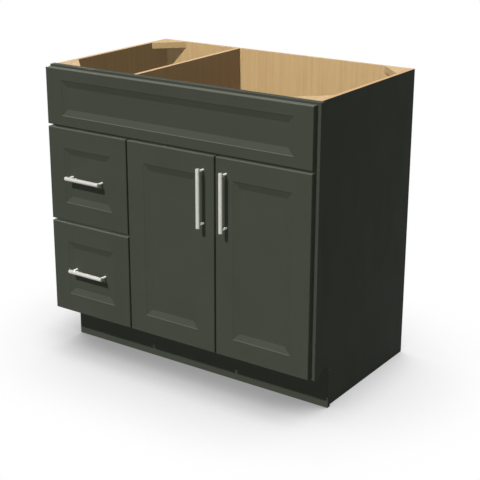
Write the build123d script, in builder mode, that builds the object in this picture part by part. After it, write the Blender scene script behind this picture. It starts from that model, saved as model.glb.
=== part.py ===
from build123d import *
import os

# Vanity base cabinet: a face-framed plywood case with two drawers, a pair of doors and a false front.
# Millimetres, +Z up, the front faces -Y, and the origin lies under the middle of the whole cabinet.

# Case
WIDTH = 914.4
HEIGHT = 876.3
CASE_DEPTH = 533.4
PANEL_THICK = 12.7
SIDE_INSET = 9.5
BACK_THICK = 9.5
TOE_HEIGHT = 114.3
TOE_SETBACK = 79.4
TOE_BOARD_THICK = 12.7
TOE_END_INSET = 3.2
PARTITION_SHIFT = 7.0

# Corner braces
BRACE_LEG = 78.0
BRACE_THICK = 19.0
BRACE_HOLE_RADIUS = 2.5
BRACE_HOLE_INSET = 22.0

# Face frame
FRAME_THICK = 19.05
STILE_WIDTH = 38.1
RAIL_HEIGHT = 38.1

# Fronts: reveals of the frame round them, gaps between them and their routed recess
FRONT_THICK = 19.05
BUMPER_GAP = 2.3
LEFT_REVEAL = 0.0
RIGHT_REVEAL = 9.5
TOP_REVEAL = 5.6
BOTTOM_REVEAL = 7.6
COLUMN_GAP = 5.4
FALSE_FRONT_GAP = 7.6
DRAWER_GAP = 7.6
FALSE_FRONT_HEIGHT = 168.0
DRAWER_FRONT_WIDTH = 293.0
BORDER = 57.0
TOP_BORDER = 58.7
FOOT_BORDER = 57.0
FALSE_TOP_BORDER = 33.0
FALSE_FOOT_BORDER = 30.0
LIP_WIDTH = 1.5
LIP_DEPTH = 1.2
BEVEL_WIDTH = 20.0
RECESS_DEPTH = 6.5
FRONT_EASE = 2.5

# Bar pulls
PULL_RADIUS = 6.0
PULL_STANDOFF = 26.0
PULL_END_CHAMFER = 0.8
DOOR_PULL_LENGTH = 168.5
DOOR_PULL_SPACING = 152.0
DOOR_PULL_DROP = 42.3
DOOR_PULL_INSET = 35.0
DRAWER_PULL_LENGTH = 127.0
DRAWER_PULL_SPACING = 112.0
DRAWER_PULL_LEFT = 5.8
DRAWER_PULL_DROP = 2.6
DRAWER_POST_CLEAR = 7.5
POST_RADIUS = 3.1
PULL_SCREW_RADIUS = 1.6
PULL_SCREW_GRIP = 10.0
SCREW_HEAD_RADIUS = 4.0
SCREW_HEAD_HEIGHT = 2.2

# Cup hinges
HINGE_END = 80.0
PIN_INSET = 9.0
PIN_DEPTH = 8.5
PIN_RADIUS = 1.25
CUP_RADIUS = 17.5
CUP_EDGE = 4.0
CUP_DEPTH = 12.5
CUP_WALL = 0.8
FLANGE_HALF_WIDTH = 29.0
FLANGE_INNER = 4.0
FLANGE_OUTER = 17.0
FLANGE_THICK = 1.0
CUP_SCREW_RISE = 24.0
CUP_SCREW_SHIFT = 8.0
CUP_SCREW_RADIUS = 1.7
CUP_SCREW_HEAD = 3.2
CUP_SCREW_LENGTH = 9.0
EAR_THICK = 1.9
EAR_GAP = 0.5
EAR_REACH = 2.1
KNUCKLE_RADIUS = 2.4
ARM_HEIGHT = 10.0
ARM_THICK = 2.0
ARM_BEND = 10.0
ARM_PLATE_HEIGHT = 42.0
ARM_PLATE_INSET = 1.5
ARM_SCREW_RISE = 13.0
ARM_SCREW_RADIUS = 1.9
ARM_SCREW_LENGTH = 14.0
ARM_SCREW_HEAD = 3.6
ARM_SCREW_HEAD_HEIGHT = 1.2
DOOR_BACK_CHAMFER = 3.5

# Drawer boxes
BOX_THICK = 12.7
BOX_BOTTOM_THICK = 6.35
BOX_GROOVE = 6.0
BOX_GROOVE_RISE = 10.0
BOX_BOTTOM_CLEAR = 15.0
BOX_TOP_CLEAR = 20.0
BOX_REAR_CLEAR = 70.0

# Drawer slides
SLIDE_THICK = 12.7
SLIDE_HEIGHT = 35.0
SLIDE_WALL = 1.5
SLIDE_CLEARANCE = 0.4
SLIDE_RISE = 25.0
SLIDE_FRONT_INSET = 3.0
BLOCK_HEIGHT = 45.0

# Small pieces
BUMPER_RADIUS = 4.0
BUMPER_INSET = 15.0
BUMPER_END = 40.0
SPACER_RADIUS = 6.0
FALSE_SCREW_RADIUS = 2.0
FALSE_SCREW_GRIP = 10.0
FALSE_SCREW_REACH = 120.0
FIT = 0.05

# Case planes
HALF = WIDTH / 2
INNER = HALF - SIDE_INSET - PANEL_THICK
PULL_REACH = PULL_STANDOFF + PULL_RADIUS
BACK_Y = (CASE_DEPTH + BUMPER_GAP + FRONT_THICK + PULL_REACH) / 2
BACK_INNER = BACK_Y - BACK_THICK
FRAME_FRONT = BACK_Y - CASE_DEPTH
FRAME_BACK = FRAME_FRONT + FRAME_THICK
FRONT_BACK = FRAME_FRONT - BUMPER_GAP
FRONT_FACE = FRONT_BACK - FRONT_THICK
TOE_FRONT = FRAME_FRONT + TOE_SETBACK
TOE_BACK = TOE_FRONT + TOE_BOARD_THICK
FLOOR_TOP = TOE_HEIGHT + RAIL_HEIGHT
FLOOR_UNDER = FLOOR_TOP - PANEL_THICK

# Edges of the fronts
FRONTS_LEFT = LEFT_REVEAL - HALF
FRONTS_RIGHT = HALF - RIGHT_REVEAL
FRONTS_TOP = HEIGHT - TOP_REVEAL
FRONTS_BOTTOM = TOE_HEIGHT + BOTTOM_REVEAL
DRAWER_RIGHT = FRONTS_LEFT + DRAWER_FRONT_WIDTH
DOORS_LEFT = DRAWER_RIGHT + COLUMN_GAP
DOOR_WIDTH = (FRONTS_RIGHT - DOORS_LEFT - COLUMN_GAP) / 2
FALSE_BOTTOM = FRONTS_TOP - FALSE_FRONT_HEIGHT
DOORS_TOP = FALSE_BOTTOM - FALSE_FRONT_GAP
DRAWER_FRONT_HEIGHT = (DOORS_TOP - FRONTS_BOTTOM - DRAWER_GAP) / 2
UPPER_FRONT_BOTTOM = DOORS_TOP - DRAWER_FRONT_HEIGHT
DRAWER_PANEL_WIDTH = DRAWER_PULL_SPACING + 2 * (DRAWER_PULL_LEFT + DRAWER_POST_CLEAR)
DRAWER_BORDER = (DRAWER_FRONT_WIDTH - DRAWER_PANEL_WIDTH) / 2 - BEVEL_WIDTH

# Edges of the face frame
HINGE_OVERLAY = STILE_WIDTH - RIGHT_REVEAL
CENTRE_LEFT = DRAWER_RIGHT - HINGE_OVERLAY
CENTRE_RIGHT = DOORS_LEFT + HINGE_OVERLAY
OPENING_LEFT = STILE_WIDTH - HALF
OPENING_RIGHT = HALF - STILE_WIDTH
TOP_RAIL_BOTTOM = HEIGHT - RAIL_HEIGHT
MIDDLE_RAIL_BOTTOM = FALSE_BOTTOM - FALSE_FRONT_GAP / 2 - RAIL_HEIGHT / 2
MIDDLE_RAIL_TOP = MIDDLE_RAIL_BOTTOM + RAIL_HEIGHT
DRAWER_RAIL_BOTTOM = UPPER_FRONT_BOTTOM - DRAWER_GAP / 2 - RAIL_HEIGHT / 2
DRAWER_RAIL_TOP = DRAWER_RAIL_BOTTOM + RAIL_HEIGHT
PARTITION_LEFT = DRAWER_RIGHT + COLUMN_GAP / 2 + PARTITION_SHIFT - PANEL_THICK / 2

# Drawer boxes and slides
BOX_LEFT = OPENING_LEFT + SLIDE_THICK
BOX_RIGHT = CENTRE_LEFT - SLIDE_THICK
LOWER_OPENING = DRAWER_RAIL_BOTTOM - FLOOR_TOP
UPPER_OPENING = MIDDLE_RAIL_BOTTOM - DRAWER_RAIL_TOP
BOX_HEIGHT = min(LOWER_OPENING, UPPER_OPENING) - BOX_BOTTOM_CLEAR - BOX_TOP_CLEAR
BOX_FRONT = FRONT_BACK
BOX_BACK = BACK_INNER - BOX_REAR_CLEAR
SLIDE_FRONT = FRAME_FRONT + SLIDE_FRONT_INSET
UPPER_BOX_BOTTOM = DRAWER_RAIL_TOP + BOX_BOTTOM_CLEAR
LOWER_BOX_BOTTOM = FLOOR_TOP + BOX_BOTTOM_CLEAR
BOX_BOTTOMS = {"upper": UPPER_BOX_BOTTOM, "lower": LOWER_BOX_BOTTOM}
DRAWER_FRONT_BOTTOMS = {"upper": UPPER_FRONT_BOTTOM, "lower": FRONTS_BOTTOM}

# Each door's hinge edge and the way its width runs from there
DOORS = {"left": (DOORS_LEFT, 1), "right": (FRONTS_RIGHT, -1)}
HINGE_HEIGHTS = (FRONTS_BOTTOM + HINGE_END, DOORS_TOP - HINGE_END)
PIN_Y = FRONT_BACK - PIN_DEPTH
EAR_INNER = ARM_HEIGHT / 2 + EAR_GAP
EAR_OUTER = EAR_INNER + EAR_THICK
PIN_LENGTH = 2 * EAR_OUTER
PULL_TOP_POST = DOORS_TOP - DOOR_PULL_DROP
DOOR_POST_HEIGHTS = (PULL_TOP_POST - DOOR_PULL_SPACING, PULL_TOP_POST)
ARM_SCREW_Y = (FRAME_FRONT + FRAME_BACK) / 2

# Screws that hold the false front to the top and middle rails
FALSE_SCREW_PLACES = [
    (x, z)
    for x in (FRONTS_LEFT + FALSE_SCREW_REACH, FRONTS_RIGHT - FALSE_SCREW_REACH)
    for z in ((FALSE_BOTTOM + MIDDLE_RAIL_TOP) / 2, (TOP_RAIL_BOTTOM + FRONTS_TOP) / 2)
]
FALSE_SCREW_LENGTH = FRAME_THICK + BUMPER_GAP + FALSE_SCREW_GRIP

FORWARD = (0, -1, 0)
BACKWARD = (0, 1, 0)
UPWARD = (0, 0, 1)


def save(piece, name):
    """Label a finished piece and write it."""
    piece.part.label = name
    export_step(piece.part, f"parts/{name}.step")


def board(x0, x1, y0, y1, z0, z1, mode=Mode.ADD):
    """A square-edged board between two corners."""
    with Locations(((x0 + x1) / 2, (y0 + y1) / 2, (z0 + z1) / 2)):
        Box(abs(x1 - x0), y1 - y0, z1 - z0, mode=mode)


def rod(start, direction, radius, length, mode=Mode.ADD):
    """A round bar, or with another mode a bore, from a point along a direction."""
    with Locations(Plane(origin=start, z_dir=direction)):
        Cylinder(radius, length, align=(Align.CENTER, Align.CENTER, Align.MIN), mode=mode)


def routed_front(x0, x1, z0, z1, side_border, top_border, foot_border):
    """A slab front with a small steep lip and a mitred bevel down to its flat recessed panel."""
    recess_bottom = z0 + foot_border
    recess_top = z1 - top_border
    recess_width = x1 - x0 - 2 * side_border
    recess_height = recess_top - recess_bottom
    recess_middle = ((x0 + x1) / 2, FRONT_FACE, (recess_bottom + recess_top) / 2)
    face = Plane(origin=recess_middle, x_dir=(1, 0, 0), z_dir=FORWARD)
    board(x0, x1, FRONT_FACE, FRONT_BACK, z0, z1)
    fillet(faces().sort_by(Axis.Y)[0].edges(), FRONT_EASE)
    with BuildSketch(face) as lip_top:
        Rectangle(recess_width, recess_height)
    with BuildSketch(face.offset(-LIP_DEPTH)) as bevel_top:
        Rectangle(recess_width - 2 * LIP_WIDTH, recess_height - 2 * LIP_WIDTH)
    with BuildSketch(face.offset(-RECESS_DEPTH)) as bevel_foot:
        Rectangle(recess_width - 2 * BEVEL_WIDTH, recess_height - 2 * BEVEL_WIDTH)
    loft([lip_top.sketch, bevel_top.sketch], ruled=True, mode=Mode.SUBTRACT)
    loft([bevel_top.sketch, bevel_foot.sketch], ruled=True, mode=Mode.SUBTRACT)


def side_panel(x0):
    """A case end, cut away at the foot for the toe space and the toe board."""
    with BuildSketch(Plane.YZ.offset(x0)) as outline:
        with BuildLine():
            Polyline(
                (FRAME_BACK, TOE_HEIGHT),
                (FRAME_BACK, HEIGHT),
                (BACK_Y, HEIGHT),
                (BACK_Y, 0),
                (TOE_BACK, 0),
                (TOE_BACK, TOE_HEIGHT),
                close=True,
            )
        make_face()
    extrude(outline.sketch, amount=PANEL_THICK)


def corner_brace(x, y, side, way):
    """A triangular brace in one corner of the case top, drilled for a countertop screw."""
    with BuildSketch(Plane.XY.offset(HEIGHT - BRACE_THICK)) as outline:
        with BuildLine():
            Polyline((x, y), (x - side * BRACE_LEG, y), (x, y - way * BRACE_LEG), close=True)
        make_face()
    extrude(outline.sketch, amount=BRACE_THICK)
    hole = (x - side * BRACE_HOLE_INSET, y - way * BRACE_HOLE_INSET, HEIGHT - BRACE_THICK)
    rod(hole, UPWARD, BRACE_HOLE_RADIUS, BRACE_THICK, Mode.SUBTRACT)


def false_screw_bores():
    """Bores along the false front's screws, through whatever stands there."""
    for x, z in FALSE_SCREW_PLACES:
        bore = FALSE_SCREW_LENGTH + FIT
        rod((x, FRAME_BACK, z), FORWARD, FALSE_SCREW_RADIUS + FIT, bore, Mode.SUBTRACT)


def frame_member(x0, x1, z0, z1):
    """A stile or rail of the face frame."""
    board(x0, x1, FRAME_FRONT, FRAME_BACK, z0, z1)


def hinge_screw_bores(edge, side):
    """Pilot holes in a stile's inner edge for two hinge arms."""
    for z in HINGE_HEIGHTS:
        for rise in (-ARM_SCREW_RISE, ARM_SCREW_RISE):
            start = (edge + side * HINGE_OVERLAY, ARM_SCREW_Y, z + rise)
            depth = ARM_SCREW_LENGTH - ARM_THICK + FIT
            rod(start, (-side, 0, 0), ARM_SCREW_RADIUS + FIT, depth, Mode.SUBTRACT)


def slide_member(web, lip, height, z):
    """A drawer slide's channel, with its web at one x and its lips at another."""
    wall = SLIDE_WALL if lip > web else -SLIDE_WALL
    with BuildSketch(Plane.XZ.offset(-BOX_BACK)) as section:
        with Locations(((web + lip) / 2, z)):
            Rectangle(abs(lip - web), height)
        with Locations(((web + wall + lip) / 2, z)):
            Rectangle(abs(lip - web) - SLIDE_WALL, height - 2 * SLIDE_WALL, mode=Mode.SUBTRACT)
    extrude(section.sketch, amount=BOX_BACK - SLIDE_FRONT)


def pull_bar(start, direction, length, posts):
    """A round pull with chamfered ends, bored for its two posts."""
    rod(start, direction, PULL_RADIUS, length)
    chamfer(edges().filter_by(GeomType.CIRCLE), PULL_END_CHAMFER)
    for x, z in posts:
        bore_end = (x, start[1], z)
        rod(bore_end, BACKWARD, POST_RADIUS + FIT, PULL_RADIUS, Mode.SUBTRACT)


def pull_post(x, z, seat, bar_y):
    """A pull's post, from the front that it stands on to the middle of the bar."""
    rod((x, bar_y, z), BACKWARD, POST_RADIUS, seat - bar_y)
    rod((x, seat, z), FORWARD, PULL_SCREW_RADIUS + FIT, PULL_SCREW_GRIP + FIT, Mode.SUBTRACT)


def pull_screw(x, z, head, seat):
    """A pan-head screw from behind a front into a pull's post."""
    rod((x, head, z), BACKWARD, SCREW_HEAD_RADIUS, SCREW_HEAD_HEIGHT)
    rod((x, head, z), FORWARD, PULL_SCREW_RADIUS, head - seat + PULL_SCREW_GRIP)


def hinge_arm(edge, side, z):
    """A hinge's strap: from the pin, round a bend and flat along the stile's inner edge."""
    half = ARM_THICK / 2
    pin_x = edge + side * PIN_INSET
    strap_x = edge + side * (HINGE_OVERLAY + half)
    bend_x = strap_x - side * ARM_BEND
    bend_y = PIN_Y + ARM_BEND
    plate_end = FRAME_BACK - ARM_PLATE_INSET
    bend_start = 270 if side > 0 else 180
    with BuildSketch(Plane.XY.offset(z - ARM_HEIGHT / 2)) as strap:
        with BuildLine():
            CenterArc((bend_x, bend_y), ARM_BEND + half, bend_start, 90)
            CenterArc((bend_x, bend_y), ARM_BEND - half, bend_start, 90)
            Polyline(
                (bend_x, PIN_Y - half),
                (pin_x, PIN_Y - half),
                (pin_x, PIN_Y + half),
                (bend_x, PIN_Y + half),
            )
            Polyline(
                (strap_x + side * half, bend_y),
                (strap_x + side * half, plate_end),
                (strap_x - side * half, plate_end),
                (strap_x - side * half, bend_y),
            )
        make_face()
    extrude(strap.sketch, amount=ARM_HEIGHT)
    rod((pin_x, PIN_Y, z - ARM_HEIGHT / 2), UPWARD, KNUCKLE_RADIUS, ARM_HEIGHT)
    rod((pin_x, PIN_Y, z - ARM_HEIGHT / 2), UPWARD, PIN_RADIUS + FIT, ARM_HEIGHT, Mode.SUBTRACT)
    stile_x = edge + side * HINGE_OVERLAY
    plate_x = stile_x + side * ARM_THICK
    plate_front = FRAME_FRONT + ARM_PLATE_INSET
    half_plate = ARM_PLATE_HEIGHT / 2
    board(stile_x, plate_x, plate_front, plate_end, z - half_plate, z + half_plate)
    for rise in (-ARM_SCREW_RISE, ARM_SCREW_RISE):
        hole = (stile_x, ARM_SCREW_Y, z + rise)
        rod(hole, (side, 0, 0), ARM_SCREW_RADIUS + FIT, ARM_THICK, Mode.SUBTRACT)


def hinge_cup(edge, side, z):
    """A pressed hinge cup with a screw flange and two ears inside that hold the pin."""
    cup_x = edge + side * (CUP_EDGE + CUP_RADIUS)
    rim = FRONT_BACK + FLANGE_THICK
    flange_x0 = cup_x - side * FLANGE_INNER
    flange_x1 = cup_x + side * FLANGE_OUTER
    rod((cup_x, FRONT_BACK, z), FORWARD, CUP_RADIUS - FIT, CUP_DEPTH - FIT)
    board(flange_x0, flange_x1, FRONT_BACK, rim, z - FLANGE_HALF_WIDTH, z + FLANGE_HALF_WIDTH)
    hollow = CUP_DEPTH - CUP_WALL + FLANGE_THICK
    rod((cup_x, rim, z), FORWARD, CUP_RADIUS - CUP_WALL, hollow, Mode.SUBTRACT)
    pin_x = edge + side * PIN_INSET
    cup_floor = FRONT_BACK - CUP_DEPTH + CUP_WALL
    for ear_z in (z - EAR_OUTER, z + EAR_INNER):
        board(pin_x - EAR_REACH, pin_x + EAR_REACH, cup_floor, PIN_Y + EAR_REACH, ear_z, ear_z + EAR_THICK)
    rod((pin_x, PIN_Y, z - EAR_OUTER), UPWARD, PIN_RADIUS + FIT, PIN_LENGTH, Mode.SUBTRACT)
    for rise in (-CUP_SCREW_RISE, CUP_SCREW_RISE):
        hole = (cup_x + side * CUP_SCREW_SHIFT, rim, z + rise)
        rod(hole, FORWARD, CUP_SCREW_HEAD + FIT, FLANGE_THICK, Mode.SUBTRACT)


os.makedirs("parts", exist_ok=True)

# Case: the frame and the toe board run past the side panels, and the floor rests on the toe board
with BuildPart() as left_side_panel:
    side_panel(-INNER - PANEL_THICK)
save(left_side_panel, "left_side_panel")

with BuildPart() as right_side_panel:
    side_panel(INNER)
save(right_side_panel, "right_side_panel")

with BuildPart() as back_panel:
    board(-INNER, INNER, BACK_INNER, BACK_Y, 0, HEIGHT)
save(back_panel, "back_panel")

with BuildPart() as bottom_panel:
    board(-INNER, INNER, FRAME_BACK, BACK_INNER, FLOOR_UNDER, FLOOR_TOP)
save(bottom_panel, "bottom_panel")

with BuildPart() as toe_board:
    toe_end = HALF - TOE_END_INSET
    board(-toe_end, toe_end, TOE_FRONT, TOE_BACK, 0, TOE_HEIGHT)
    board(-INNER, INNER, TOE_FRONT, TOE_BACK, TOE_HEIGHT, FLOOR_UNDER)
save(toe_board, "toe_board")

with BuildPart() as partition:
    board(PARTITION_LEFT, PARTITION_LEFT + PANEL_THICK, FRAME_BACK, BACK_INNER, FLOOR_TOP, HEIGHT)
save(partition, "partition")

with BuildPart() as corner_braces:
    for side in (-1, 1):
        corner_brace(side * INNER, FRAME_BACK, side, -1)
        corner_brace(side * INNER, BACK_INNER, side, 1)
save(corner_braces, "corner_braces")

# Face frame: the hinge stiles are drilled for the hinge arms, the rails for the false front's screws
with BuildPart() as left_stile:
    frame_member(-HALF, OPENING_LEFT, TOE_HEIGHT, HEIGHT)
save(left_stile, "left_stile")

with BuildPart() as right_stile:
    frame_member(OPENING_RIGHT, HALF, TOE_HEIGHT, HEIGHT)
    hinge_screw_bores(*DOORS["right"])
save(right_stile, "right_stile")

with BuildPart() as centre_stile:
    frame_member(CENTRE_LEFT, CENTRE_RIGHT, FLOOR_TOP, MIDDLE_RAIL_BOTTOM)
    hinge_screw_bores(*DOORS["left"])
save(centre_stile, "centre_stile")

with BuildPart() as top_rail:
    frame_member(OPENING_LEFT, OPENING_RIGHT, TOP_RAIL_BOTTOM, HEIGHT)
    false_screw_bores()
save(top_rail, "top_rail")

with BuildPart() as middle_rail:
    frame_member(OPENING_LEFT, OPENING_RIGHT, MIDDLE_RAIL_BOTTOM, MIDDLE_RAIL_TOP)
    false_screw_bores()
save(middle_rail, "middle_rail")

with BuildPart() as drawer_rail:
    frame_member(OPENING_LEFT, CENTRE_LEFT, DRAWER_RAIL_BOTTOM, DRAWER_RAIL_TOP)
save(drawer_rail, "drawer_rail")

with BuildPart() as bottom_rail:
    frame_member(OPENING_LEFT, OPENING_RIGHT, TOE_HEIGHT, FLOOR_TOP)
save(bottom_rail, "bottom_rail")

# False front
with BuildPart() as false_front:
    false_borders = (BORDER, FALSE_TOP_BORDER, FALSE_FOOT_BORDER)
    routed_front(FRONTS_LEFT, FRONTS_RIGHT, FALSE_BOTTOM, FRONTS_TOP, *false_borders)
    false_screw_bores()
save(false_front, "false_front")

with BuildPart() as false_front_screws:
    for x, z in FALSE_SCREW_PLACES:
        rod((x, FRAME_BACK, z), BACKWARD, SCREW_HEAD_RADIUS, SCREW_HEAD_HEIGHT)
        rod((x, FRAME_BACK, z), FORWARD, FALSE_SCREW_RADIUS, FALSE_SCREW_LENGTH)
save(false_front_screws, "false_front_screws")

# Soft bumpers behind the doors and drawer fronts, and spacer rings round the false front's screws
DOOR_MEETING_EDGES = (DOORS_LEFT + DOOR_WIDTH, FRONTS_RIGHT - DOOR_WIDTH)
DOOR_BUMPER_COLUMNS = (DOOR_MEETING_EDGES[0] - BUMPER_INSET, DOOR_MEETING_EDGES[1] + BUMPER_INSET)
DOOR_BUMPER_ROWS = ((FRONTS_BOTTOM + FLOOR_TOP) / 2, (MIDDLE_RAIL_BOTTOM + DOORS_TOP) / 2)
DRAWER_BUMPER_COLUMNS = (FRONTS_LEFT + BUMPER_INSET, DRAWER_RIGHT - BUMPER_INSET)
DRAWER_BUMPER_ROWS = [
    z
    for bottom in DRAWER_FRONT_BOTTOMS.values()
    for z in (bottom + BUMPER_END, bottom + DRAWER_FRONT_HEIGHT - BUMPER_END)
]
with BuildPart() as bumpers:
    for x in DOOR_BUMPER_COLUMNS:
        for z in DOOR_BUMPER_ROWS:
            rod((x, FRAME_FRONT, z), FORWARD, BUMPER_RADIUS, BUMPER_GAP)
    for x in DRAWER_BUMPER_COLUMNS:
        for z in DRAWER_BUMPER_ROWS:
            rod((x, FRAME_FRONT, z), FORWARD, BUMPER_RADIUS, BUMPER_GAP)
    for x, z in FALSE_SCREW_PLACES:
        rod((x, FRAME_FRONT, z), FORWARD, SPACER_RADIUS, BUMPER_GAP)
    false_screw_bores()
save(bumpers, "bumpers")

# Doors: slab, hinges and pull
for name, (edge, side) in DOORS.items():
    far = edge + side * DOOR_WIDTH
    pull_x = far - side * DOOR_PULL_INSET
    posts = [(pull_x, z) for z in DOOR_POST_HEIGHTS]
    bar_y = FRONT_FACE - PULL_STANDOFF
    cup_x = edge + side * (CUP_EDGE + CUP_RADIUS)
    cup_screw_x = cup_x + side * CUP_SCREW_SHIFT
    cup_screws = [
        (cup_screw_x, z + rise)
        for z in HINGE_HEIGHTS
        for rise in (-CUP_SCREW_RISE, CUP_SCREW_RISE)
    ]

    with BuildPart() as door:
        door_borders = (BORDER, TOP_BORDER, FOOT_BORDER)
        routed_front(min(edge, far), max(edge, far), FRONTS_BOTTOM, DOORS_TOP, *door_borders)
        back_edges = edges().filter_by(Axis.Z).group_by(Axis.Y)[-1]
        chamfer(back_edges.sort_by(Axis.X)[0 if side > 0 else -1], DOOR_BACK_CHAMFER)
        for z in HINGE_HEIGHTS:
            rod((cup_x, FRONT_BACK, z), FORWARD, CUP_RADIUS, CUP_DEPTH, Mode.SUBTRACT)
        for x, z in cup_screws:
            rod((x, FRONT_BACK, z), FORWARD, CUP_SCREW_RADIUS + FIT, CUP_SCREW_LENGTH + FIT, Mode.SUBTRACT)
        for x, z in posts:
            rod((x, FRONT_BACK, z), FORWARD, PULL_SCREW_RADIUS + FIT, FRONT_THICK, Mode.SUBTRACT)
    save(door, f"{name}_door")

    with BuildPart() as hinge_cups:
        for z in HINGE_HEIGHTS:
            hinge_cup(edge, side, z)
    save(hinge_cups, f"{name}_hinge_cups")

    with BuildPart() as hinge_pins:
        for z in HINGE_HEIGHTS:
            rod((edge + side * PIN_INSET, PIN_Y, z - PIN_LENGTH / 2), UPWARD, PIN_RADIUS, PIN_LENGTH)
    save(hinge_pins, f"{name}_hinge_pins")

    with BuildPart() as hinge_cup_screws:
        for x, z in cup_screws:
            rod((x, FRONT_BACK, z), BACKWARD, CUP_SCREW_HEAD, FLANGE_THICK)
            rod((x, FRONT_BACK, z), FORWARD, CUP_SCREW_RADIUS, CUP_SCREW_LENGTH)
    save(hinge_cup_screws, f"{name}_hinge_cup_screws")

    with BuildPart() as hinge_arms:
        for z in HINGE_HEIGHTS:
            hinge_arm(edge, side, z)
    save(hinge_arms, f"{name}_hinge_arms")

    with BuildPart() as door_pull_bar:
        bar_foot = (pull_x, bar_y, sum(DOOR_POST_HEIGHTS) / 2 - DOOR_PULL_LENGTH / 2)
        pull_bar(bar_foot, UPWARD, DOOR_PULL_LENGTH, posts)
    save(door_pull_bar, f"{name}_pull_bar")

    with BuildPart() as door_pull_posts:
        for x, z in posts:
            pull_post(x, z, FRONT_FACE, bar_y)
    save(door_pull_posts, f"{name}_pull_posts")

    with BuildPart() as door_pull_screws:
        for x, z in posts:
            pull_screw(x, z, FRONT_BACK, FRONT_FACE)
    save(door_pull_screws, f"{name}_pull_screws")

with BuildPart() as hinge_arm_screws:
    for edge, side in DOORS.values():
        for z in HINGE_HEIGHTS:
            for rise in (-ARM_SCREW_RISE, ARM_SCREW_RISE):
                seat = (edge + side * (HINGE_OVERLAY + ARM_THICK), ARM_SCREW_Y, z + rise)
                rod(seat, (side, 0, 0), ARM_SCREW_HEAD, ARM_SCREW_HEAD_HEIGHT)
                rod(seat, (-side, 0, 0), ARM_SCREW_RADIUS, ARM_SCREW_LENGTH)
save(hinge_arm_screws, "hinge_arm_screws")

# Drawer slides: blocks and channels on the case, then a middle member and a runner for each drawer
SLIDE_SIDES = ((OPENING_LEFT, 1), (CENTRE_LEFT, -1))
SLIDE_HEIGHTS = {name: bottom + SLIDE_RISE for name, bottom in BOX_BOTTOMS.items()}
NEST = SLIDE_WALL + SLIDE_CLEARANCE

with BuildPart() as slide_blocks:
    for z in SLIDE_HEIGHTS.values():
        z0 = z - BLOCK_HEIGHT / 2
        z1 = z + BLOCK_HEIGHT / 2
        board(-INNER, OPENING_LEFT, FRAME_BACK, BOX_BACK, z0, z1)
        board(CENTRE_LEFT, PARTITION_LEFT, FRAME_BACK, BOX_BACK, z0, z1)
save(slide_blocks, "slide_blocks")

with BuildPart() as slide_channels:
    for z in SLIDE_HEIGHTS.values():
        for wall_x, side in SLIDE_SIDES:
            lip = wall_x + side * (SLIDE_THICK - 2 * SLIDE_WALL)
            slide_member(wall_x, lip, SLIDE_HEIGHT, z)
save(slide_channels, "slide_channels")

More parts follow.
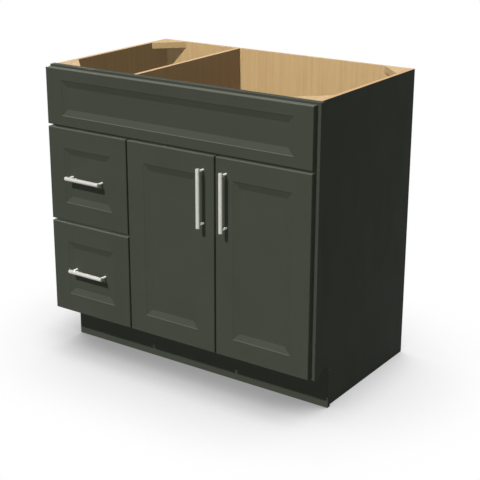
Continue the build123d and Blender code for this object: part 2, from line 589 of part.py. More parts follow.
# Drawers: slide members, box, front and pull
for name, box_bottom in BOX_BOTTOMS.items():
    slide_z = SLIDE_HEIGHTS[name]
    front_bottom = DRAWER_FRONT_BOTTOMS[name]
    front_top = front_bottom + DRAWER_FRONT_HEIGHT
    pull_mid = (FRONTS_LEFT + DRAWER_RIGHT) / 2 - DRAWER_PULL_LEFT
    pull_z = (front_bottom + front_top) / 2 - DRAWER_PULL_DROP
    pull_seat = FRONT_FACE + RECESS_DEPTH
    bar_y = pull_seat - PULL_STANDOFF
    posts = [(pull_mid + way * DRAWER_PULL_SPACING / 2, pull_z) for way in (-1, 1)]
    box_top = box_bottom + BOX_HEIGHT
    inner_left = BOX_LEFT + BOX_THICK
    inner_right = BOX_RIGHT - BOX_THICK
    inner_front_back = BOX_FRONT + BOX_THICK
    groove_bottom = box_bottom + BOX_GROOVE_RISE
    groove_top = groove_bottom + BOX_BOTTOM_THICK
    groove = (inner_left - BOX_GROOVE, inner_right + BOX_GROOVE, inner_front_back - BOX_GROOVE, BOX_BACK)

    with BuildPart() as slide_middles:
        for wall_x, side in SLIDE_SIDES:
            web = wall_x + side * NEST
            lip = wall_x + side * (SLIDE_THICK - NEST)
            slide_member(web, lip, SLIDE_HEIGHT - 2 * NEST, slide_z)
    save(slide_middles, f"{name}_slide_middles")

    with BuildPart() as slide_runners:
        for wall_x, side in SLIDE_SIDES:
            web = wall_x + side * SLIDE_THICK
            lip = wall_x + side * 2 * NEST
            slide_member(web, lip, SLIDE_HEIGHT - 4 * NEST, slide_z)
    save(slide_runners, f"{name}_slide_runners")

    with BuildPart() as drawer_left_side:
        board(BOX_LEFT, inner_left, BOX_FRONT, BOX_BACK, box_bottom, box_top)
        board(*groove, groove_bottom, groove_top, Mode.SUBTRACT)
    save(drawer_left_side, f"{name}_drawer_left_side")

    with BuildPart() as drawer_right_side:
        board(inner_right, BOX_RIGHT, BOX_FRONT, BOX_BACK, box_bottom, box_top)
        board(*groove, groove_bottom, groove_top, Mode.SUBTRACT)
    save(drawer_right_side, f"{name}_drawer_right_side")

    with BuildPart() as drawer_inner_front:
        board(inner_left, inner_right, BOX_FRONT, inner_front_back, box_bottom, box_top)
        board(*groove, groove_bottom, groove_top, Mode.SUBTRACT)
        for x, z in posts:
            rod((x, BOX_FRONT, z), BACKWARD, PULL_SCREW_RADIUS + FIT, BOX_THICK, Mode.SUBTRACT)
    save(drawer_inner_front, f"{name}_drawer_inner_front")

    with BuildPart() as drawer_back:
        board(inner_left, inner_right, BOX_BACK - BOX_THICK, BOX_BACK, groove_top, box_top)
    save(drawer_back, f"{name}_drawer_back")

    with BuildPart() as drawer_bottom:
        board(*groove, groove_bottom, groove_top)
    save(drawer_bottom, f"{name}_drawer_bottom")

    with BuildPart() as drawer_front:
        drawer_borders = (DRAWER_BORDER, TOP_BORDER, FOOT_BORDER)
        routed_front(FRONTS_LEFT, DRAWER_RIGHT, front_bottom, front_top, *drawer_borders)
        for x, z in posts:
            rod((x, FRONT_BACK, z), FORWARD, PULL_SCREW_RADIUS + FIT, FRONT_THICK, Mode.SUBTRACT)
    save(drawer_front, f"{name}_drawer_front")

    with BuildPart() as drawer_pull_bar:
        bar_start = (pull_mid - DRAWER_PULL_LENGTH / 2, bar_y, pull_z)
        pull_bar(bar_start, (1, 0, 0), DRAWER_PULL_LENGTH, posts)
    save(drawer_pull_bar, f"{name}_pull_bar")

    with BuildPart() as drawer_pull_posts:
        for x, z in posts:
            pull_post(x, z, pull_seat, bar_y)
    save(drawer_pull_posts, f"{name}_pull_posts")

    with BuildPart() as drawer_pull_screws:
        for x, z in posts:
            pull_screw(x, z, inner_front_back, pull_seat)
    save(drawer_pull_screws, f"{name}_pull_screws")
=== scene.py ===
import math

import bmesh
import bpy
from mathutils import Matrix

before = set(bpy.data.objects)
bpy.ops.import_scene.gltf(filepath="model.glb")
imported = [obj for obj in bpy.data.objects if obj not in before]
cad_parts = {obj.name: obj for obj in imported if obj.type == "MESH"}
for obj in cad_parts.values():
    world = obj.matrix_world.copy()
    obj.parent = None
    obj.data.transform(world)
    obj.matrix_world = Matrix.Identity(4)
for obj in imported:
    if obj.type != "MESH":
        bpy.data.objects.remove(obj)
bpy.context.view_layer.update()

# Case panels: the back, floor, partition, corner braces and slide blocks of the box.
# They are cut from birch plywood, glued and stapled together, and left bare under a clear coat.
# The partition's birch is tinted darker, a painted shade on its face inside the case.
BIRCH_PALE = (200, 170, 124)
BIRCH_WARM = (184, 153, 107)
BIRCH_FLECK = (160, 128, 84)
# The colour that bounced light sees on the birch, a painted shade darker than the wood.
BIRCH_BOUNCE_SHADE = (58, 44, 30)
# The tones below multiply the birch colour: the partition's is a painted shade that darkens it, and the
# other leaves it as it is.
NO_SHADE_TONE = (255, 255, 255)
PARTITION_SHADE_TONE = (229, 219, 216)
FIGURE_SCALE = (22, 22, 1.6)
FIGURE_BEND = 0.8
FIGURE_WAVES = 46.0
WAVE_RANGE = (-1.0, 1.0)
FIGURE_SHARE = (0.0, 0.22)
STREAK_SCALE = (110, 110, 2.4)
STREAK_RANGE = (0.35, 0.75)
STREAK_SHARE = (0.0, 0.55)
FIBRE_SCALE = (700, 700, 16)
FIBRE_RANGE = (0.3, 0.8)
FIBRE_SHARE = (0.0, 0.25)
FLECK_SCALE = (420, 420, 60)
FLECK_RANGE = (0.66, 0.80)
FLECK_SHARE = (0.0, 0.5)
NOISE_RANGE = (0.2, 0.8)
BIRCH_ROUGHNESS = (0.42, 0.58)
BIRCH_SHEEN = 0.25
BIRCH_RELIEF = (0.25, 0.0002)
BOARD_EDGE_RADIUS = 0.0008
PLY_EDGE_LIGHT = (214, 181, 138)
PLY_EDGE_DARK = (176, 138, 94)
PLY_LAYER = 0.0025
PLY_GLUE_LINE = (0.42 * PLY_LAYER, 0.58 * PLY_LAYER)
SAW_SCALE = (260, 260, 260)
SAW_SHARE = (0.5, 1.0)
EASE_SAMPLES = 6
EDGE_FACING = (0.995, 0.80)
FACE_TO_EDGE = (0.6, 0.4)


def colour(screen):
    """A colour in screen values from 0 to 255, as the linear values that shaders take."""
    shares = [value / 255 for value in screen]
    linear = [s / 12.92 if s <= 0.04045 else ((s + 0.055) / 1.055) ** 2.4 for s in shares]
    return (*linear, 1.0)


def feed(tree, value, socket):
    """Link a socket to another node's output, or set its value."""
    if isinstance(value, bpy.types.NodeSocket):
        tree.links.new(value, socket)
    else:
        socket.default_value = value


def add(tree, kind, inputs, **settings):
    """Add a shader node with its settings, and feed the inputs that are named."""
    node = tree.nodes.new(kind)
    for name, value in settings.items():
        setattr(node, name, value)
    for name, value in inputs.items():
        feed(tree, value, node.inputs[name])
    return node


def calc(tree, operation, first, second=0.0):
    """One step of arithmetic on values."""
    return add(tree, "ShaderNodeMath", {0: first, 1: second}, operation=operation).outputs[0]


def noise(tree, vector, scale, detail, distortion=0.0):
    """A noise pattern from 0 to 1."""
    inputs = {"Vector": vector, "Scale": scale, "Detail": detail, "Distortion": distortion}
    return add(tree, "ShaderNodeTexNoise", inputs).outputs["Fac"]


def grain(tree, vector, scale, detail, distortion=0.0):
    """A noise pattern from 0 to 1, with its own scale along each axis."""
    stretched = add(tree, "ShaderNodeVectorMath", {0: vector, 1: scale}, operation="MULTIPLY").outputs[0]
    return noise(tree, stretched, 1.0, detail, distortion)


def span(tree, value, given, wanted=(0.0, 1.0)):
    """A value carried from one range to another, and held at its ends."""
    low, high = given
    start, end = wanted
    inputs = {"Value": value, "From Min": low, "From Max": high, "To Min": start, "To Max": end}
    return add(tree, "ShaderNodeMapRange", inputs).outputs["Result"]


def mix(tree, share, first, second, mode="MIX"):
    """Two colours mixed by a share. The node's colours are its inputs 6 and 7 and its output 2."""
    node = add(tree, "ShaderNodeMix", {0: share}, data_type="RGBA", blend_type=mode)
    feed(tree, first, node.inputs[6])
    feed(tree, second, node.inputs[7])
    return node.outputs[2]


def effect_group(name, inputs, outputs):
    """A new node group with named inputs and outputs, and its two end nodes."""
    tree = bpy.data.node_groups.new(name, "ShaderNodeTree")
    for socket, kind in inputs.items():
        tree.interface.new_socket(name=socket, in_out="INPUT", socket_type=kind)
    for socket, kind in outputs.items():
        tree.interface.new_socket(name=socket, in_out="OUTPUT", socket_type=kind)
    return tree, tree.nodes.new("NodeGroupInput").outputs, tree.nodes.new("NodeGroupOutput").inputs


def place_group(tree, group, inputs):
    """Place a node group in a material and give back its outputs."""
    node = tree.nodes.new("ShaderNodeGroup")
    node.node_tree = group
    for name, value in inputs.items():
        feed(tree, value, node.inputs[name])
    return node.outputs


# Birch veneer: broad figure and fine fibres along Z of the position that goes in
veneer_group, veneer_in, veneer_out = effect_group(
    "birch_veneer",
    {"Position": "NodeSocketVector"},
    {"Color": "NodeSocketColor", "Roughness": "NodeSocketFloat", "Height": "NodeSocketFloat"},
)
along_grain = veneer_in["Position"]
figure = grain(veneer_group, along_grain, FIGURE_SCALE, detail=3.0, distortion=FIGURE_BEND)
rings = calc(veneer_group, "SINE", calc(veneer_group, "MULTIPLY", figure, FIGURE_WAVES))
streaks = grain(veneer_group, along_grain, STREAK_SCALE, detail=4.0)
fibres = grain(veneer_group, along_grain, FIBRE_SCALE, detail=2.0)
flecks = grain(veneer_group, along_grain, FLECK_SCALE, detail=1.0)
warmth = span(veneer_group, rings, WAVE_RANGE, FIGURE_SHARE)
warmth = calc(veneer_group, "ADD", warmth, span(veneer_group, streaks, STREAK_RANGE, STREAK_SHARE))
warmth = calc(veneer_group, "ADD", warmth, span(veneer_group, fibres, FIBRE_RANGE, FIBRE_SHARE))
veneer = mix(veneer_group, warmth, colour(BIRCH_PALE), colour(BIRCH_WARM))
flecked = span(veneer_group, flecks, FLECK_RANGE, FLECK_SHARE)
veneer = mix(veneer_group, flecked, veneer, colour(BIRCH_FLECK))
feed(veneer_group, veneer, veneer_out["Color"])
feed(veneer_group, span(veneer_group, fibres, NOISE_RANGE, BIRCH_ROUGHNESS), veneer_out["Roughness"])
feed(veneer_group, calc(veneer_group, "ADD", fibres, flecks), veneer_out["Height"])

# Plywood edge: thin layers that turn light and dark, counted through the thickness
layers_group, layers_in, layers_out = effect_group(
    "ply_layers",
    {"Position": "NodeSocketVector", "Depth": "NodeSocketFloat"},
    {"Color": "NodeSocketColor", "Height": "NodeSocketFloat"},
)
layer_wave = calc(layers_group, "PINGPONG", layers_in["Depth"], PLY_LAYER)
saw_marks = grain(layers_group, layers_in["Position"], SAW_SCALE, detail=3.0)
saw_shade = span(layers_group, saw_marks, NOISE_RANGE, SAW_SHARE)
layer_share = calc(layers_group, "MULTIPLY", span(layers_group, layer_wave, PLY_GLUE_LINE), saw_shade)
layers = mix(layers_group, layer_share, colour(PLY_EDGE_LIGHT), colour(PLY_EDGE_DARK))
feed(layers_group, layers, layers_out["Color"])
feed(layers_group, saw_marks, layers_out["Height"])

# Eased edge: the light rolls over each sharp edge, and a mask marks each edge, where hands and boxes rub
# the paint and where a highlight is painted on.
ease_group, ease_in, ease_out = effect_group(
    "eased_edge",
    {"Radius": "NodeSocketFloat"},
    {"Edge": "NodeSocketFloat", "Normal": "NodeSocketVector"},
)
rounding = add(ease_group, "ShaderNodeBevel", {"Radius": ease_in["Radius"]}, samples=EASE_SAMPLES)
eased = rounding.outputs["Normal"]
flat = ease_group.nodes.new("ShaderNodeNewGeometry").outputs["True Normal"]
likeness = add(ease_group, "ShaderNodeVectorMath", {0: eased, 1: flat}, operation="DOT_PRODUCT")
feed(ease_group, span(ease_group, likeness.outputs["Value"], EDGE_FACING), ease_out["Edge"])
feed(ease_group, eased, ease_out["Normal"])


def finish_material(name):
    """A new material with its node tree and its shader."""
    material = bpy.data.materials.new(name)
    material.use_nodes = True
    return material, material.node_tree, material.node_tree.nodes["Principled BSDF"]


def object_place(tree):
    """Each point's place in the cabinet's own frame."""
    return tree.nodes.new("ShaderNodeTexCoord").outputs["Object"]


def object_facing(tree):
    """The way that the surface faces in the cabinet's own frame."""
    return tree.nodes.new("ShaderNodeTexCoord").outputs["Normal"]


def axis_values(tree, vector):
    """A vector's three values."""
    return add(tree, "ShaderNodeSeparateXYZ", {"Vector": vector}).outputs


def turned(tree, vector, order):
    """A position with its axes in another order: through the board, across the grain, along the grain."""
    values = axis_values(tree, vector)
    inputs = {place: values[axis] for place, axis in zip("XYZ", order)}
    return add(tree, "ShaderNodeCombineXYZ", inputs).outputs["Vector"]


def bump(tree, height, relief, normal):
    """A fine relief over a surface, with its strength and its depth."""
    strength, depth = relief
    inputs = {"Strength": strength, "Distance": depth, "Height": height, "Normal": normal}
    return add(tree, "ShaderNodeBump", inputs).outputs["Normal"]


def dress(material, *nodes):
    """Give CAD nodes their finish."""
    for node in nodes:
        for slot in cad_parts[node].material_slots:
            slot.material = material


def birch_surface(tree, order, layered=1.0, shade_tone=NO_SHADE_TONE):
    """Colour, roughness and relief of birch plywood, with veneer on its faces and layers on its edges.

    For bounced light the wood takes a dark colour in place of its own, a painted shade that keeps the
    inside of the case dim."""
    position = object_place(tree)
    board = turned(tree, position, order)
    veneer_look = place_group(tree, veneer_group, {"Position": board})
    # A shade tone, when given, darkens the veneer as painted shade.
    sheet = mix(tree, 1.0, veneer_look["Color"], colour(shade_tone), "MULTIPLY")
    depth = axis_values(tree, board)["X"]
    layer_look = place_group(tree, layers_group, {"Position": position, "Depth": depth})
    on_face = calc(tree, "ABSOLUTE", axis_values(tree, turned(tree, object_facing(tree), order))["X"])
    on_edge = span(tree, on_face, FACE_TO_EDGE, (0.0, layered))
    shade = mix(tree, on_edge, sheet, layer_look["Color"])
    bounced = tree.nodes.new("ShaderNodeLightPath").outputs["Is Diffuse Ray"]
    shade = mix(tree, bounced, shade, colour(BIRCH_BOUNCE_SHADE))
    height = calc(tree, "ADD", veneer_look["Height"], layer_look["Height"])
    return shade, veneer_look["Roughness"], height


def birch_material(name, order, layered=1.0, shade_tone=NO_SHADE_TONE):
    """Clear-coated birch; order names the axes through the board, across and along its grain."""
    material, tree, shader = finish_material(name)
    shade, roughness, height = birch_surface(tree, order, layered, shade_tone)
    ease = place_group(tree, ease_group, {"Radius": BOARD_EDGE_RADIUS})
    feed(tree, shade, shader.inputs["Base Color"])
    feed(tree, roughness, shader.inputs["Roughness"])
    feed(tree, bump(tree, height, BIRCH_RELIEF, ease["Normal"]), shader.inputs["Normal"])
    shader.inputs["Specular IOR Level"].default_value = BIRCH_SHEEN
    return material


dress(birch_material("back_birch", "YXZ"), "back_panel")
dress(birch_material("floor_birch", "ZYX"), "bottom_panel")
dress(birch_material("partition_birch", "XYZ", shade_tone=PARTITION_SHADE_TONE), "partition")
dress(birch_material("brace_birch", "ZXY", layered=0.0), "corner_braces")
dress(birch_material("block_birch", "XZY"), "slide_blocks")

# End panels: birch plywood like the rest of the case, sprayed grey-olive outside and along the toe notch.
# Their inner faces and their top and rear edges stay bare.
# The end panels' bare birch is tinted a little darker, a painted shade on their inner faces.
END_PANEL_SHADE_TONE = (252, 243, 241)
PAINT = (66, 69, 61)
PAINT_THIN = (60, 63, 55)
# The lighter colour on the edges: partly rubbed paint, partly a painted highlight.
PAINT_RUBBED_HIGHLIGHT = (92, 95, 87)
PAINT_ROUGHNESS = (0.40, 0.52)
PAINT_SHEEN = 0.015
CLOUD_SCALE = 7.0
CLOUD_RANGE = (0.35, 0.65)
THIN_SHARE = (0.0, 0.35)
ORANGE_PEEL_SCALE = 620.0
WIPE_SCALE = (30, 30, 9)
WIPE_BEND = 0.4
WIPE_RANGE = (0.3, 0.7)
RUBBED_HIGHLIGHT_RANGE = (0.35, 0.7)
RUBBED_HIGHLIGHT_SHARE = (0.1, 0.5)
OUTWARD_FACING = (0.4, 0.6)
NOTCH_FACING = (-0.1, -0.2)
END_PANEL_RELIEF = (0.15, 0.0001)

paint_group, paint_in, paint_out = effect_group(
    "satin_paint",
    {"Position": "NodeSocketVector", "Edge": "NodeSocketFloat"},
    {"Color": "NodeSocketColor", "Roughness": "NodeSocketFloat", "Height": "NodeSocketFloat"},
)
cloud = noise(paint_group, paint_in["Position"], CLOUD_SCALE, detail=3.0)
orange_peel = noise(paint_group, paint_in["Position"], ORANGE_PEEL_SCALE, detail=2.0)
wipe_marks = grain(paint_group, paint_in["Position"], WIPE_SCALE, detail=5.0, distortion=WIPE_BEND)
thinned = span(paint_group, cloud, CLOUD_RANGE, THIN_SHARE)
coat = mix(paint_group, thinned, colour(PAINT), colour(PAINT_THIN))
# The edges are painted lighter in patches: partly rubbed wear, partly a painted highlight.
rubbing_and_highlight = span(paint_group, wipe_marks, RUBBED_HIGHLIGHT_RANGE, RUBBED_HIGHLIGHT_SHARE)
rubbing_and_highlight = calc(paint_group, "MULTIPLY", paint_in["Edge"], rubbing_and_highlight)
feed(paint_group, mix(paint_group, rubbing_and_highlight, coat, colour(PAINT_RUBBED_HIGHLIGHT)), paint_out["Color"])
feed(paint_group, span(paint_group, wipe_marks, WIPE_RANGE, PAINT_ROUGHNESS), paint_out["Roughness"])
feed(paint_group, orange_peel, paint_out["Height"])


def end_panel_material(name, outward):
    """An end panel's finish: paint on its outer face and its toe notch, and bare birch elsewhere."""
    material, tree, shader = finish_material(name)
    shade, _, height = birch_surface(tree, "XYZ", shade_tone=END_PANEL_SHADE_TONE)
    ease = place_group(tree, ease_group, {"Radius": BOARD_EDGE_RADIUS})
    paint = place_group(tree, paint_group, {"Position": object_place(tree), "Edge": ease["Edge"]})
    facing = axis_values(tree, object_facing(tree))
    outside = span(tree, calc(tree, "MULTIPLY", facing["X"], outward), OUTWARD_FACING)
    forward = span(tree, facing["Y"], NOTCH_FACING)
    downward = span(tree, facing["Z"], NOTCH_FACING)
    painted = calc(tree, "MAXIMUM", outside, calc(tree, "MAXIMUM", forward, downward))
    feed(tree, mix(tree, painted, shade, paint["Color"]), shader.inputs["Base Color"])
    feed(tree, paint["Roughness"], shader.inputs["Roughness"])
    relief = calc(tree, "ADD", height, paint["Height"])
    feed(tree, bump(tree, relief, END_PANEL_RELIEF, ease["Normal"]), shader.inputs["Normal"])
    shader.inputs["Specular IOR Level"].default_value = PAINT_SHEEN
    return material


dress(end_panel_material("left_end_finish", -1.0), "left_side_panel")
dress(end_panel_material("right_end_finish", 1.0), "right_side_panel")

# Face frame and toe board: solid hardwood stiles and rails, and a plywood kick board.
# The frame is joined with pocket screws, glued to the case and sprayed with the same satin paint.
# A lighter paint colour for what faces up, a painted sheen on the top faces.
PAINT_TOP_SHEEN = (98, 101, 92)
UPWARD_FACING = (0.2, 0.8)
PAINT_RELIEF = (0.12, 0.0001)
FRAME_EDGE_RADIUS = 0.0010


def paint_material(name, edge_radius, top_sheen=0.0):
    """Satin grey-olive paint with eased edges, and a share of lighter colour on what faces up, a painted
    sheen on the top faces.
    """
    material, tree, shader = finish_material(name)
    ease = place_group(tree, ease_group, {"Radius": edge_radius})
    paint = place_group(tree, paint_group, {"Position": object_place(tree), "Edge": ease["Edge"]})
    upward = axis_values(tree, object_facing(tree))["Z"]
    top_sheen_share = span(tree, upward, UPWARD_FACING, (0.0, top_sheen))
    feed(tree, mix(tree, top_sheen_share, paint["Color"], colour(PAINT_TOP_SHEEN)), shader.inputs["Base Color"])
    feed(tree, paint["Roughness"], shader.inputs["Roughness"])
    feed(tree, bump(tree, paint["Height"], PAINT_RELIEF, ease["Normal"]), shader.inputs["Normal"])
    shader.inputs["Specular IOR Level"].default_value = PAINT_SHEEN
    return material


frame_paint = paint_material("frame_paint", FRAME_EDGE_RADIUS)
dress(frame_paint, "left_stile", "right_stile", "centre_stile")
dress(frame_paint, "top_rail", "middle_rail", "drawer_rail", "bottom_rail", "toe_board")

# Fronts: the false front, two drawer fronts and two doors.
# Each is a fibreboard slab with a routed, mitred bevel, sprayed with the satin paint.
FRONT_EDGE_RADIUS = 0.0012
# The fronts' top faces are painted lighter, a painted sheen, most on the false front.
FRONT_TOP_SHEEN = 0.6
FALSE_FRONT_TOP_SHEEN = 0.9
dress(paint_material("false_front_paint", FRONT_EDGE_RADIUS, FALSE_FRONT_TOP_SHEEN), "false_front")
front_paint = paint_material("front_paint", FRONT_EDGE_RADIUS, FRONT_TOP_SHEEN)
dress(front_paint, "upper_drawer_front", "lower_drawer_front", "left_door", "right_door")

# Drawer boxes: birch boards on four sides and a plywood bottom in a groove.
# They are glued and stapled at the corners, and clear-coated.
side_birch = birch_material("drawer_side_birch", "XZY")
end_birch = birch_material("drawer_end_birch", "YZX")
bottom_birch = birch_material("drawer_bottom_birch", "ZXY")
for level in ("upper", "lower"):
    dress(side_birch, f"{level}_drawer_left_side", f"{level}_drawer_right_side")
    dress(end_birch, f"{level}_drawer_inner_front", f"{level}_drawer_back")
    dress(bottom_birch, f"{level}_drawer_bottom")

# Drawer slides: three nested channels on each side of a drawer.
# They are rolled from zinc-plated steel strip and run on ball bearings.
ZINC_LIGHT = (196, 199, 202)
ZINC_DARK = (158, 162, 166)
ZINC_GRAIN = (900, 20, 900)
ZINC_ROUGHNESS = (0.30, 0.45)
CRYSTAL_SCALE = 60.0
CRYSTAL_RANGE = (0.3, 0.7)
GLOSS_RANGE = (0.25, 0.75)
STREAK_SHADE = (0.4, 1.0)
METAL_EDGE_RADIUS = 0.0003
METAL_RELIEF = (0.06, 0.00005)


def plated_material(name, light, dark, grain_scale, roughness, metallic=1.0):
    """A plated metal with cloudy crystals, fine streaks and a change of gloss."""
    material, tree, shader = finish_material(name)
    position = object_place(tree)
    cloudy = noise(tree, position, CRYSTAL_SCALE, detail=4.0)
    streaky = grain(tree, position, grain_scale, detail=2.0)
    streak_shade = span(tree, streaky, NOISE_RANGE, STREAK_SHADE)
    share = calc(tree, "MULTIPLY", span(tree, cloudy, CRYSTAL_RANGE), streak_shade)
    ease = place_group(tree, ease_group, {"Radius": METAL_EDGE_RADIUS})
    feed(tree, mix(tree, share, colour(light), colour(dark)), shader.inputs["Base Color"])
    feed(tree, span(tree, streaky, GLOSS_RANGE, roughness), shader.inputs["Roughness"])
    feed(tree, bump(tree, streaky, METAL_RELIEF, ease["Normal"]), shader.inputs["Normal"])
    shader.inputs["Metallic"].default_value = metallic
    return material


slide_zinc = plated_material("slide_zinc", ZINC_LIGHT, ZINC_DARK, ZINC_GRAIN, ZINC_ROUGHNESS)
dress(slide_zinc, "slide_channels")
for level in ("upper", "lower"):
    dress(slide_zinc, f"{level}_slide_middles", f"{level}_slide_runners")

# Cup hinges: pressed steel cups in the doors, with strap arms on the frame, turning on steel pins.
# All of it is nickel-plated, and held by zinc-plated screws.
HINGE_LIGHT = (205, 203, 198)
HINGE_DARK = (176, 173, 167)
HINGE_GRAIN = (400, 400, 400)
HINGE_ROUGHNESS = (0.22, 0.36)
SCREW_LIGHT = (198, 190, 168)
SCREW_DARK = (165, 157, 136)
SCREW_GRAIN = (500, 500, 500)
SCREW_ROUGHNESS = (0.28, 0.42)
hinge_nickel = plated_material("hinge_nickel", HINGE_LIGHT, HINGE_DARK, HINGE_GRAIN, HINGE_ROUGHNESS)
screw_zinc = plated_material("screw_zinc", SCREW_LIGHT, SCREW_DARK, SCREW_GRAIN, SCREW_ROUGHNESS)
for side in ("left", "right"):
    dress(hinge_nickel, f"{side}_hinge_arms", f"{side}_hinge_cups", f"{side}_hinge_pins")
    dress(screw_zinc, f"{side}_hinge_cup_screws")
dress(screw_zinc, "hinge_arm_screws", "false_front_screws")

# Bar pulls: round bars in satin nickel on two polished posts, turned from steel. The posts' near-white
# colour is a painted reflection.
# Machine screws hold them from behind the fronts.
NICKEL_LIGHT = (194, 194, 188)
NICKEL_DARK = (181, 181, 175)
NICKEL_ROUGHNESS = (0.36, 0.46)
NICKEL_SHEEN = 0.35
UPRIGHT_GRAIN = (1400, 1400, 30)
LEVEL_GRAIN = (30, 1400, 1400)
# The posts' near-white colours are a painted reflection on the nickel.
POST_SHINE_LIGHT = (252, 252, 248)
POST_SHINE_DARK = (244, 244, 239)
POST_GRAIN = (1400, 30, 1400)
POST_ROUGHNESS = (0.24, 0.34)
POST_SHEEN = 0.05


def bar_nickel(name, grain_scale):
    """Satin nickel, brushed along a bar."""
    return plated_material(name, NICKEL_LIGHT, NICKEL_DARK, grain_scale, NICKEL_ROUGHNESS, NICKEL_SHEEN)


dress(bar_nickel("door_pull_nickel", UPRIGHT_GRAIN), "left_pull_bar", "right_pull_bar")
dress(bar_nickel("drawer_pull_nickel", LEVEL_GRAIN), "upper_pull_bar", "lower_pull_bar")
post_painted_shine = plated_material(
    "post_painted_shine", POST_SHINE_LIGHT, POST_SHINE_DARK, POST_GRAIN, POST_ROUGHNESS, POST_SHEEN
)
for front in ("left", "right", "upper", "lower"):
    dress(post_painted_shine, f"{front}_pull_posts")
    dress(screw_zinc, f"{front}_pull_screws")

# Bumpers and spacers: soft clear discs stuck to the frame, which keep the fronts off the paint.
# They are moulded from a milky plastic.
BUMPER_CLEAR = (206, 206, 198)
BUMPER_MILKY = (188, 189, 182)
BUMPER_ROUGHNESS = (0.35, 0.5)
MILK_SCALE = 180.0
MILK_RANGE = (0.3, 0.7)
bumper_plastic, bumper_tree, bumper_shader = finish_material("bumper_plastic")
milk = noise(bumper_tree, object_place(bumper_tree), MILK_SCALE, detail=2.0)
milky = mix(bumper_tree, milk, colour(BUMPER_CLEAR), colour(BUMPER_MILKY))
feed(bumper_tree, milky, bumper_shader.inputs["Base Color"])
bumper_gloss = span(bumper_tree, milk, MILK_RANGE, BUMPER_ROUGHNESS)
feed(bumper_tree, bumper_gloss, bumper_shader.inputs["Roughness"])
dress(bumper_plastic, "bumpers")

# Floor: a plain pale sheet under the cabinet. It is white to the camera, with a soft grey shadow close
# to the cabinet that is stronger in front and at the left, and dimmer to the light that bounces off it.
FLOOR_SIZE = 12.0
FLOOR_DROP = 0.0004
FLOOR_BOUNCE = (0.08, 0.08, 0.08, 1.0)
SHADOW_SAMPLES = 16
NEAR_REACH = 0.20
NEAR_LEAN = (0.30, 0.10, 0.9487)
NEAR_OPEN = (0.25, 0.90)
NEAR_DARKEST = 0.485
FAR_REACH = 0.45
FAR_LEAN = (0.0, 0.0, 1.0)
FAR_OPEN = (0.33, 0.955)
FAR_DARKEST = 0.617


def seen_directly(tree):
    """One where a surface is seen by the camera or in metal or glass, and nought for other light."""
    path = tree.nodes.new("ShaderNodeLightPath").outputs
    mirrored = calc(tree, "MAXIMUM", path["Is Glossy Ray"], path["Is Transmission Ray"])
    return calc(tree, "MAXIMUM", path["Is Camera Ray"], mirrored)


def contact_shadow(tree, reach, lean, openness, darkest):
    """A soft shadow near what stands on the floor, from its darkest value up to one.

    It is stronger on the side that the upward direction leans away from."""
    upward = add(tree, "ShaderNodeCombineXYZ", dict(enumerate(lean))).outputs["Vector"]
    inputs = {"Distance": reach, "Normal": upward}
    nearness = add(tree, "ShaderNodeAmbientOcclusion", inputs, samples=SHADOW_SAMPLES)
    return span(tree, nearness.outputs["AO"], openness, (darkest, 1.0))


floor_mesh = bpy.data.meshes.new("floor")
floor_shape = bmesh.new()
bmesh.ops.create_grid(floor_shape, x_segments=1, y_segments=1, size=FLOOR_SIZE / 2)
bmesh.ops.translate(floor_shape, vec=(0, 0, -FLOOR_DROP), verts=floor_shape.verts)
floor_shape.to_mesh(floor_mesh)
floor_shape.free()
floor = bpy.data.objects.new("floor", floor_mesh)
bpy.context.scene.collection.objects.link(floor)
floor_white = bpy.data.materials.new("floor_white")
floor_white.use_nodes = True
floor_tree = floor_white.node_tree
floor_tree.nodes.clear()
near_shadow = contact_shadow(floor_tree, NEAR_REACH, NEAR_LEAN, NEAR_OPEN, NEAR_DARKEST)
far_shadow = contact_shadow(floor_tree, FAR_REACH, FAR_LEAN, FAR_OPEN, FAR_DARKEST)
floor_shade = calc(floor_tree, "MULTIPLY", near_shadow, far_shadow)
floor_glow = add(floor_tree, "ShaderNodeEmission", {"Color": floor_shade, "Strength": 1.0})
floor_dull = add(floor_tree, "ShaderNodeBsdfDiffuse", {"Color": FLOOR_BOUNCE})
floor_mix = add(floor_tree, "ShaderNodeMixShader", {0: seen_directly(floor_tree)})
feed(floor_tree, floor_dull.outputs[0], floor_mix.inputs[1])
feed(floor_tree, floor_glow.outputs[0], floor_mix.inputs[2])
add(floor_tree, "ShaderNodeOutputMaterial", {"Surface": floor_mix.outputs[0]})
floor_mesh.materials.append(floor_white)

# Light: a key lamp high in front casts the shadows. Weak fill lamps in front, at the right, overhead and
# behind, which cast none, and a faint even sky keep the shade open.
KEY_STRENGTH = 3.25
KEY_AZIMUTH = math.radians(2.0)
KEY_ELEVATION = math.radians(45.7)
KEY_SOFTNESS = math.radians(1.6)
KEY_COLOUR = (1.0, 0.985, 0.955)
FILL_STRENGTH = 0.84
FILL_SOFTNESS = math.radians(30.0)
FILL_COLOUR = (1.0, 1.0, 1.0)
OVERHEAD_STRENGTH = 1.3
SIDE_STRENGTH = 0.46
SIDE_AZIMUTH = math.radians(-90.0)
SIDE_COLOUR = (0.93, 1.0, 1.0)
REAR_STRENGTH = 1.2
REAR_AZIMUTH = math.radians(135.0)
SKY_STRENGTH = 0.04
SKY_COLOUR = (0.95, 1.0, 1.0, 1.0)
SKY_WHITE = (1.0, 1.0, 1.0, 1.0)
LEVEL = 0.0
UPRIGHT = math.pi / 2


def sun(name, strength, softness, tint, elevation, azimuth=0.0, shadow=False):
    """A lamp far away in front of the cabinet, turned to the left by its azimuth."""
    light = bpy.data.lights.new(name, "SUN")
    light.energy = strength
    light.angle = softness
    light.color = tint
    light.use_shadow = shadow
    lamp = bpy.data.objects.new(name, light)
    lamp.rotation_euler = (UPRIGHT - elevation, 0, -azimuth)
    bpy.context.scene.collection.objects.link(lamp)


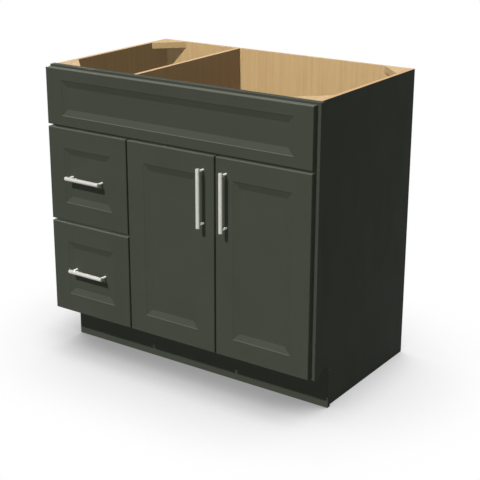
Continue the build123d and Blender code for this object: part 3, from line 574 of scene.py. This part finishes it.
sun("key", KEY_STRENGTH, KEY_SOFTNESS, KEY_COLOUR, KEY_ELEVATION, KEY_AZIMUTH, shadow=True)
sun("front_fill", FILL_STRENGTH, FILL_SOFTNESS, FILL_COLOUR, LEVEL)
sun("side_fill", SIDE_STRENGTH, FILL_SOFTNESS, SIDE_COLOUR, LEVEL, SIDE_AZIMUTH)
sun("overhead", OVERHEAD_STRENGTH, FILL_SOFTNESS, FILL_COLOUR, UPRIGHT)
sun("rear_fill", REAR_STRENGTH, KEY_SOFTNESS, FILL_COLOUR, LEVEL, REAR_AZIMUTH)
sky = bpy.data.worlds.new("sky")
sky.use_nodes = True
sky_tree = sky.node_tree
sky_light = sky_tree.nodes["Background"]
sky_light.inputs["Color"].default_value = SKY_COLOUR
sky_light.inputs["Strength"].default_value = SKY_STRENGTH
sky_seen = add(sky_tree, "ShaderNodeBackground", {"Color": SKY_WHITE, "Strength": 1.0})
sky_mix = add(sky_tree, "ShaderNodeMixShader", {0: seen_directly(sky_tree)})
feed(sky_tree, sky_light.outputs[0], sky_mix.inputs[1])
feed(sky_tree, sky_seen.outputs[0], sky_mix.inputs[2])
feed(sky_tree, sky_mix.outputs[0], sky_tree.nodes["World Output"].inputs["Surface"])
bpy.context.scene.world = sky

# Camera: a long lens in front of the cabinet and to its right, a little above its top.
# Its place and lens are fitted to the cabinet's corners in the photograph.
CAMERA_PLACE = (1.913099, -2.721919, 1.518725)
CAMERA_TURN = math.radians(35.289)
CAMERA_DIP = math.radians(18.354)
CAMERA_ROLL = math.radians(-0.093)
CAMERA_LENS = 88.344
CAMERA_SENSOR = 36.0
CAMERA_SHIFT_X = 0.03573
CAMERA_SHIFT_Y = -0.03895
camera = bpy.data.cameras.new("camera")
camera.lens = CAMERA_LENS
camera.sensor_width = CAMERA_SENSOR
camera.shift_x = CAMERA_SHIFT_X
camera.shift_y = CAMERA_SHIFT_Y
camera_stand = bpy.data.objects.new("camera", camera)
aim = Matrix.Rotation(CAMERA_TURN, 4, "Z") @ Matrix.Rotation(UPRIGHT - CAMERA_DIP, 4, "X")
camera_stand.matrix_world = Matrix.Translation(CAMERA_PLACE) @ aim @ Matrix.Rotation(CAMERA_ROLL, 4, "Z")
bpy.context.scene.collection.objects.link(camera_stand)
bpy.context.scene.camera = camera_stand
bpy.context.scene.view_settings.view_transform = "Standard"
